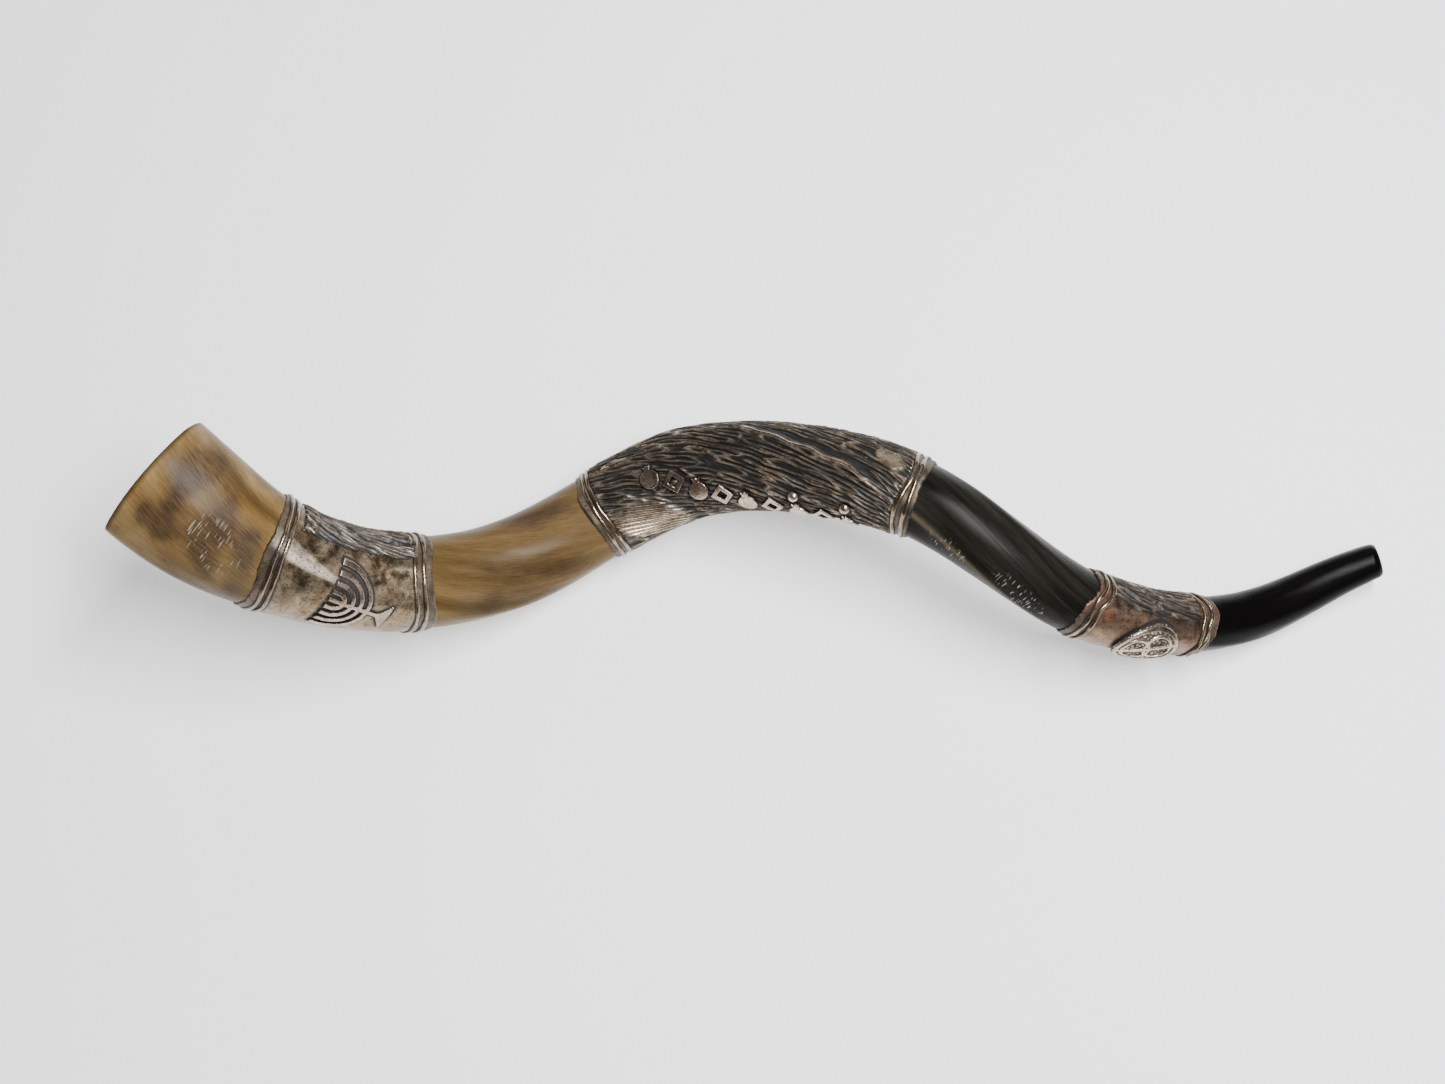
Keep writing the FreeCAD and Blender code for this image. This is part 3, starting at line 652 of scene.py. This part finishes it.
def silver_top(name):
    """Height of the silver, with slight dents and the roof-like crease along the front keel."""
    def top(runs, bearings):
        share = bearings / 360.0
        around = 2 * math.pi * GIRTH
        dents = 0.16 * layered(runs * LENGTH, share, around, 13.0, 11.0, 21)
        dents = dents + 0.07 * layered(runs * LENGTH, share, around, 4.0, 4.0, 22)
        return SILVER_TOP + dents + crease_height(name, bearings)
    return top


def crease_height(name, bearings):
    """The casting is planed flat along the front keel."""
    tall = 0.9 if name == "bell" else 0.36
    return tall * np.clip(1.45 - np.abs(gap_to(bearings, FRONT_KEEL)) / 18.0, 0.0, 1.0)


def crease_marks(name, lines):
    """Relief and shade of plain silver: dark creases on both sides of each wire and by the lips."""
    def marks(runs, bearings):
        shade = np.zeros(runs.shape)
        for wire in lines["wires"]:
            away = np.abs(runs - wire[None, :]) * LENGTH
            shade = np.maximum(shade, 0.95 * np.exp(-((away - WIRE) / 0.75) ** 2))
        for lip, inner in lines["borders"]:
            near = (runs - lip[None, :]) / (inner - lip)[None, :]
            inside = between(near, 0.0, 0.12) * (1 - between(near, 0.92, 1.05))
            shade = np.maximum(shade, 0.60 * inside)
            away = np.abs(runs - lip[None, :]) * LENGTH
            shade = np.maximum(shade, 0.9 * np.exp(-(away / 0.45) ** 2))
        share = bearings / 360.0
        soot = between(layered(runs * LENGTH, share, 150.0, 16.0, 12.0, 33), 0.05, 0.75)
        # the bell sleeve's flat facet on the front keel, a wedge narrowing towards the menorah: polished
        # silver with a painted highlight
        wedge = 10.0 - 6.5 * between(runs, 0.086, 0.126)
        facet = np.exp(-(gap_to(bearings, FRONT_KEEL - 2.0) / wedge) ** 8)
        facet = facet * between(runs, lines["borders"][0][0], 0.082)
        facet = facet * (1 - between(runs, 0.118, 0.132)) if name == "bell" else 0.0 * runs
        return np.ones(runs.shape), np.clip(shade + 0.35 * soot * (1 - facet), 0.0, 1.0), 0.9 * facet
    return marks


def make_sleeve(name, around, along_count, material):
    bearings = np.arange(around) * 360.0 / around
    seed = 40 + 10 * list(SLEEVES).index(name)
    lips = [wander(name, end, "lip", bearings, seed + 2 * end) for end in (0, 1)]
    wires = [(0, "outer"), (0, "inner"), (1, "inner"), (1, "outer")]
    lines = [wander(name, end, what, bearings, seed + 20 + i) for i, (end, what) in enumerate(wires)]
    inset = 1.6 / LENGTH
    bed = ring_shell(name + "_resin_bed", lips[0] + inset, lips[1] - inset, 0.02,
                     lambda r, b: np.full(r.shape, BED), 24, RESIN, plain_marks)
    finish_piece(bed, "resin", name + "_sleeve_bed")
    marks = crease_marks(name, {"wires": lines, "borders": [(lips[0], lines[1]), (lips[1], lines[2])]})
    silver = ring_shell(name + "_silver", lips[0], lips[1], 0.05, silver_top(name), along_count,
                        material, marks)
    finish_piece(silver, "antique_silver", name + "_sleeve")
    for i, (end, what) in enumerate(wires):
        make_wire("%s_sleeve_wire_%d" % (name, i + 1), name, end, what, seed + 20 + i)
    return silver


def make_wire(node, name, end, what, seed):
    """Uneven cast wire that wanders round the sleeve."""
    around, sides = 300, 14
    bearings = np.arange(around) * 360.0 / around
    share = bearings / 360.0
    here = wander(name, end, what, bearings, seed)
    thick = WIRE * (0.95 + 0.34 * layered(0.0, share, 120.0, 9.0, 6.5, seed + 50))
    wide = thick * (1.22 + 0.42 * layered(0.0, share, 120.0, 9.0, 9.0, seed + 60))
    forward = axes(here)[1]
    heart = skin(here, bearings, SILVER_TOP + 0.2 * WIRE + crease_height(name, bearings))
    radial = unit(heart - smooth(here, centre))
    rows = []
    for i in range(sides):
        angle = 2 * math.pi * i / sides
        rows.append(heart + radial * (math.cos(angle) * thick)[:, None]
                    + forward * (math.sin(angle) * wide)[:, None])
    rows = np.stack(rows, 1)
    lift = np.cos(2 * math.pi * np.arange(sides) / sides)
    relief = np.tile(np.clip(0.12 + 0.95 * lift, 0, 1), around)
    attributes = {"relief": relief, "shade": np.zeros(around * sides)}
    finish_piece(loop_object(node + "_cast", rows, attributes, WIRE_SILVER), "antique_silver", node)


def bark_height(runs, bearings, around, seed):
    """Wandering lengthwise cords between 0 and 1, like dripped wax, with deep gaps."""
    share = bearings / 360.0
    along = runs * LENGTH
    warp = 1.8 * layered(along, share, around, 48.0, 30.0, seed)
    warp = warp + 0.9 * layered(along, share, around, 12.0, 7.0, seed + 1)
    moved = share + warp / around
    count = round(around / 2.9)
    cords = (0.5 + 0.5 * np.cos(2 * math.pi * count * moved)) ** 1.4
    kept = between(layered(along, moved, around, 18.0, 3.6, seed + 2), -0.65, 0.0)
    strong = np.clip(1 - np.abs(layered(along, moved, around, 26.0, 5.2, seed + 3)) / 0.20, 0, 1)
    knots = np.clip(1 - np.abs(layered(along, moved, around, 10.0, 3.8, seed + 4)) / 0.20, 0, 1)
    wild = between(layered(along, share, around, 30.0, 16.0, seed + 5), 0.05, 0.6)
    fine = 0.26 * np.clip(layered(along, moved, around, 4.0, 1.3, seed + 6) + 0.35, 0, 1)
    height = np.maximum(0.92 * cords * kept * (1 - 0.4 * wild), 0.95 * strong ** 0.8)
    height = np.maximum(height, 0.85 * knots * wild) + fine * (0.4 + 0.6 * wild)
    swell = 0.80 + 0.28 * layered(along, share, around, 20.0, 10.0, seed + 7)
    return np.clip(height * swell, 0, 1)


def bark_shade(runs, bearings, around, seed):
    """Broad sooty places."""
    soot = layered(runs * LENGTH, bearings / 360.0, around, 34.0, 22.0, seed + 8)
    return 0.45 * between(soot, 0.0, 0.7)


# The raised fold on the wrap, with the share of the horn over which its ends fade, and two places,
# one smooth and one ruled with fine lines: run, bearing, half length in mm, half width in degrees
FOLD_RUNS = (0.462, 0.592)
FOLD_FADE = 0.02
SMOOTH_PATCH = (0.583, 12.0, 9.0, 15.0)
RULED_PATCH = (0.386, 203.0, 30.0, 36.0)
RULED_LINES = 58.0


def make_bark_wrap():
    around = 440
    bearings = np.arange(around) * 360.0 / around
    start = wander("middle", 0, "inner", bearings, 62) + 1.2 / LENGTH
    end = wander("middle", 1, "inner", bearings, 63) - 1.2 / LENGTH
    ring = 2 * math.pi * GIRTH
    level = {}

    def top(runs, angles):
        relief = bark_height(runs, angles, ring, 60)
        along = runs * LENGTH
        line = BACK_KEEL - 2.0 + 5.0 * layered(along, 0 * runs, 100.0, 17.0, 50.0, 88)
        fade = between(runs, FOLD_RUNS[0], FOLD_RUNS[0] + FOLD_FADE)
        fade = fade * (1 - between(runs, FOLD_RUNS[1] - FOLD_FADE, FOLD_RUNS[1]))
        away = gap_to(angles, line)
        fold = fade * np.exp(-(away / 3.6) ** 2)
        trench = fade * np.exp(-((away + 10.0) / 4.5) ** 2)
        patch = between(spot(runs, angles, *SMOOTH_PATCH), 0.3, 0.6)
        relief = np.maximum(relief, fold) * (1 - 0.9 * trench)
        relief = relief * (1 - patch) + 0.82 * patch
        ruled = between(spot(runs, angles, *RULED_PATCH), 0.35, 0.6)
        swing = angles + 1.6 * layered(along, angles / 360.0, ring, 30.0, 20.0, 89)
        lines = 1.0 - 0.62 * (0.5 + 0.5 * np.cos(np.radians(swing) * RULED_LINES)) ** 2.5
        relief = relief * (1 - ruled) + np.maximum(0.45 * relief, lines) * ruled
        level["relief"] = relief
        level["shade"] = bark_shade(runs, angles, ring, 60) * (1 - patch) * (1 - ruled) * (1 - 0.7 * fold)
        return SILVER_TOP + 0.05 + relief * 1.9 + 0.7 * fold - 0.35 * patch

    wrap = ring_shell("middle_bark", start, end, SILVER_TOP - 0.2, top, 205, BARK_SILVER,
                      lambda runs, angles: (level["relief"], level["shade"], 0.0 * runs))
    return finish_piece(wrap, "bark_silver", "middle_bark_wrap")


def make_bark_panel(name, middle_bearing, half_angle, ring, seed):
    """Curved bark casting with a ragged border on the inner side of the coil."""
    start_run = SLEEVES[name][0] + BARK_INSET - 0.002
    end_run = SLEEVES[name][1] - BARK_INSET + 0.002
    rows = int((end_run - start_run) * LENGTH / 0.62)
    columns = int(ring * half_angle / 180.0 / 0.36)
    parts = np.linspace(0, 1, rows)[:, None]
    sides = np.linspace(-1, 1, columns)[None, :]
    runs = np.broadcast_to(start_run + (end_run - start_run) * parts, (rows, columns))
    bearings = middle_bearing + BARK_DRIFT * (parts - 0.5) + half_angle * sides
    relief = bark_height(runs, bearings, ring, seed)
    border = np.minimum((1 - np.abs(sides)) * half_angle / 360 * ring,
                        np.minimum(parts, 1 - parts) * (end_run - start_run) * LENGTH)
    ragged = 1.4 + 1.4 * layered(runs * LENGTH, bearings / 360.0, ring, 6.0, 3.0, seed + 9)
    inside = between(border, ragged - 0.6, ragged + 0.6)
    heights = SILVER_TOP - 0.25 + inside * (0.30 + relief * 1.75)
    relief = np.where(inside > 0.5, relief, 0.0)
    top = skin(runs, bearings, heights)
    low = skin(runs, bearings, SILVER_TOP - 0.4)
    points = np.concatenate([top.reshape(-1, 3), low.reshape(-1, 3)])
    count = rows * columns
    faces = quads(rows, columns, False, False)
    faces += [[count + i for i in reversed(face)] for face in faces]
    rim = list(range(columns)) + [r * columns + columns - 1 for r in range(1, rows)]
    rim += [(rows - 1) * columns + c for c in range(columns - 2, -1, -1)]
    rim += [r * columns for r in range(rows - 2, 0, -1)]
    for a, b in zip(rim, rim[1:] + rim[:1]):
        faces.append([b, a, count + a, count + b])
    shade = bark_shade(runs, bearings, ring, seed)
    attributes = {"relief": np.concatenate([relief.ravel(), np.zeros(count)]),
                  "shade": np.concatenate([shade.ravel(), np.zeros(count)]),
                  "run": np.tile(runs.ravel(), 2), "bearing": np.tile(bearings.ravel(), 2),
                  "along": np.tile(runs.ravel(), 2) * LENGTH}
    panel = new_object(name + "_bark", lay(points), faces, attributes, BARK_SILVER)
    return finish_piece(panel, "bark_silver", name + "_bark_panel")


# ---------------------------------------------------------------- cast appliques

CENTRE_RUNS = np.linspace(0, 1, 2001)
CENTRE_LINE = smooth(CENTRE_RUNS, centre)


def heights_above_horn(points):
    """Height of row-frame points above the bare horn."""
    local = (points / MM - SHIFT) @ TURN_MATRIX
    tree = KDTree(len(CENTRE_LINE))
    for i, point in enumerate(CENTRE_LINE):
        tree.insert(point, i)
    tree.balance()
    nearest = np.array([tree.find(point)[1] for point in local])
    run = CENTRE_RUNS[nearest]
    _, forward, outward, sideways = axes(run)
    away = local - CENTRE_LINE[nearest]
    bearing = np.degrees(np.arctan2(np.sum(away * sideways, 1), np.sum(away * outward, 1)))
    flat = away - forward * np.sum(away * forward, 1, keepdims=True)
    return np.linalg.norm(flat, axis=1) - bare_radius(run, bearing)


def add_lumps(mesh, level, floor, size=2.1, tall=0.8):
    """Small rounded castings crowd the sunk field of a medallion, at heights near floor.

    Returns how high each point stands on its lump, 0 to 1."""
    field = between(level, floor - 0.5, floor - 0.2) * (1 - between(level, floor + 0.2, floor + 0.7))
    lumps = np.zeros(len(level))
    for i in np.nonzero(field > 0.01)[0]:
        near = lattice.voronoi(mesh.vertices[i].co / (size * MM))[0]
        lumps[i] = field[i] * min((near[1] - near[0]) / 0.42, 1.0) ** 0.7
    normals = np.zeros(len(level) * 3, np.float32)
    mesh.vertices.foreach_get("normal", normals)
    points = np.zeros(len(level) * 3, np.float32)
    mesh.vertices.foreach_get("co", points)
    points += normals * np.repeat(lumps * tall * MM, 3)
    mesh.vertices.foreach_set("co", points)
    return lumps


def make_casting(node, low, high, voxel=0.28, field=None):
    """Cast copy of a CAD applique: softened edges and blackened sides.

    field is the height of a sunk field to fill with lumps."""
    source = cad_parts[node]
    obj = bpy.data.objects.new(node + "_cast", source.data.copy())
    bpy.context.scene.collection.objects.link(obj)
    obj.data.transform(Matrix.Scale(1 / MM, 4))
    remesh = obj.modifiers.new("remesh", "REMESH")
    remesh.mode = "VOXEL"
    remesh.voxel_size = voxel
    soften = obj.modifiers.new("soften", "SMOOTH")
    soften.factor = 0.5
    soften.iterations = 3
    bpy.context.view_layer.update()
    shaped = bpy.data.meshes.new_from_object(obj.evaluated_get(bpy.context.evaluated_depsgraph_get()))
    obj.modifiers.clear()
    obj.data = shaped
    shaped.transform(Matrix.Scale(MM, 4))
    points = np.zeros(len(shaped.vertices) * 3)
    shaped.vertices.foreach_get("co", points)
    level = heights_above_horn(points.reshape(-1, 3))
    shown = between(level, low, high)
    if field is not None:
        shown = np.maximum(shown - 0.10, 0.85 * add_lumps(shaped, level, field))
    relief = shaped.attributes.new("relief", "FLOAT", "POINT")
    relief.data.foreach_set("value", shown.astype(np.float32))
    shaped.attributes.new("shade", "FLOAT", "POINT")
    shaped.materials.clear()
    shaped.materials.append(POLISHED)
    shaped.shade_smooth()
    return finish_piece(obj, "polished_silver", node)


def shade_near(obj, castings, reach):
    """Blackens a piece's skin where castings stand close by."""
    tree = KDTree(sum(len(c.data.vertices) for c in castings))
    count = 0
    for casting in castings:
        for vertex in casting.data.vertices:
            tree.insert(vertex.co, count)
            count += 1
    tree.balance()
    layer = obj.data.attributes["shade"]
    values = np.zeros(len(obj.data.vertices), np.float32)
    layer.data.foreach_get("value", values)
    for i, vertex in enumerate(obj.data.vertices):
        distance = tree.find(vertex.co)[2]
        values[i] = max(values[i], min(1.5 * math.exp(-(distance / (reach * MM)) ** 2), 1.0))
    layer.data.foreach_set("value", values)


# ---------------------------------------------------------------- stage

def view_matrix():
    """The picture is taken square to the coil's own frame, from its near side."""
    return Matrix(TURNED).to_4x4()


def make_camera():
    """field is the width in view, in mm, at the coil's own middle."""
    distance, field = 1200.0, 809.2
    camera = bpy.data.cameras.new("camera")
    camera.sensor_width = 36.0
    camera.lens = 36.0 * distance / field
    camera.clip_start = 0.01
    camera.clip_end = 50.0
    obj = bpy.data.objects.new("camera", camera)
    bpy.context.scene.collection.objects.link(obj)
    look = Matrix.Rotation(math.radians(90), 4, "X")
    stand = Vector(lay(np.array([0.0, -distance, 0.0])))
    obj.matrix_world = Matrix.Translation(stand) @ view_matrix() @ look
    bpy.context.scene.camera = obj


def area_light(name, place, size, power, target=(0.0, 0.0, 0.0)):
    """Softbox at a place in the coil's own frame, in millimetres, aimed at the horn."""
    light = bpy.data.lights.new(name, "AREA")
    light.shape = "RECTANGLE"
    light.size, light.size_y = size
    light.energy = power
    obj = bpy.data.objects.new(name, light)
    bpy.context.scene.collection.objects.link(obj)
    stand = Vector(lay(np.array(place, float)))
    obj.location = stand
    aim = Vector(lay(np.array(target, float))) - stand
    obj.rotation_euler = aim.to_track_quat("-Z", "Y").to_euler()


def make_stage():
    mesh = bpy.data.meshes.new("floor")
    reach = 6.0
    mesh.from_pydata([(-reach, -reach, 0), (reach, -reach, 0), (reach, reach, 0), (-reach, reach, 0)],
                     [], [(0, 1, 2, 3)])
    floor = bpy.data.objects.new("floor", mesh)
    bpy.context.scene.collection.objects.link(floor)
    material, _, shader = new_material("pale_floor")
    shader.inputs["Base Color"].default_value = (0.90, 0.90, 0.90, 1)
    shader.inputs["Roughness"].default_value = 0.9
    shader.inputs["Emission Color"].default_value = (1, 1, 1, 1)
    shader.inputs["Emission Strength"].default_value = 0.6
    mesh.materials.append(material)
    world = bpy.data.worlds.new("soft_studio")
    world.use_nodes = True
    world.node_tree.nodes["Background"].inputs["Color"].default_value = (1, 1, 1, 1)
    world.node_tree.nodes["Background"].inputs["Strength"].default_value = 0.16
    bpy.context.scene.world = world
    area_light("key", (430.0, -1350.0, 450.0), (1.05, 0.24), 54.0)
    area_light("fill", (800.0, -1300.0, -300.0), (1.2, 1.2), 3.5)
    area_light("top", (0.0, -300.0, 1500.0), (1.8, 0.5), 3.5)


make_camera()
make_stage()
make_horn()
bell_silver = make_sleeve("bell", 300, 160, ANTIQUE)
make_sleeve("middle", 240, 200, ANTIQUE)
tip_silver = make_sleeve("tip", 260, 150, COPPERY)
wrap = make_bark_wrap()
make_bark_panel("bell", 179.0, 80.0, 180.0, 70)
make_bark_panel("tip", 194.0, 86.0, 112.0, 80)
menorah = make_casting("menorah", SILVER_TOP + 0.2, SILVER_TOP + 1.0)
medallion = make_casting("oval_medallion", SILVER_TOP + 1.5, SILVER_TOP + 2.9, field=SILVER_TOP + 1.8)
ornament_names = sorted(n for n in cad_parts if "_ornament_" in n or n.startswith("cast_bead"))
ornaments = [make_casting(n, SILVER_TOP + BARK + 0.2, SILVER_TOP + BARK + 1.1) for n in ornament_names]
shade_near(bell_silver, [menorah], 1.5)
shade_near(tip_silver, [medallion], 1.5)
shade_near(wrap, ornaments, 1.8)
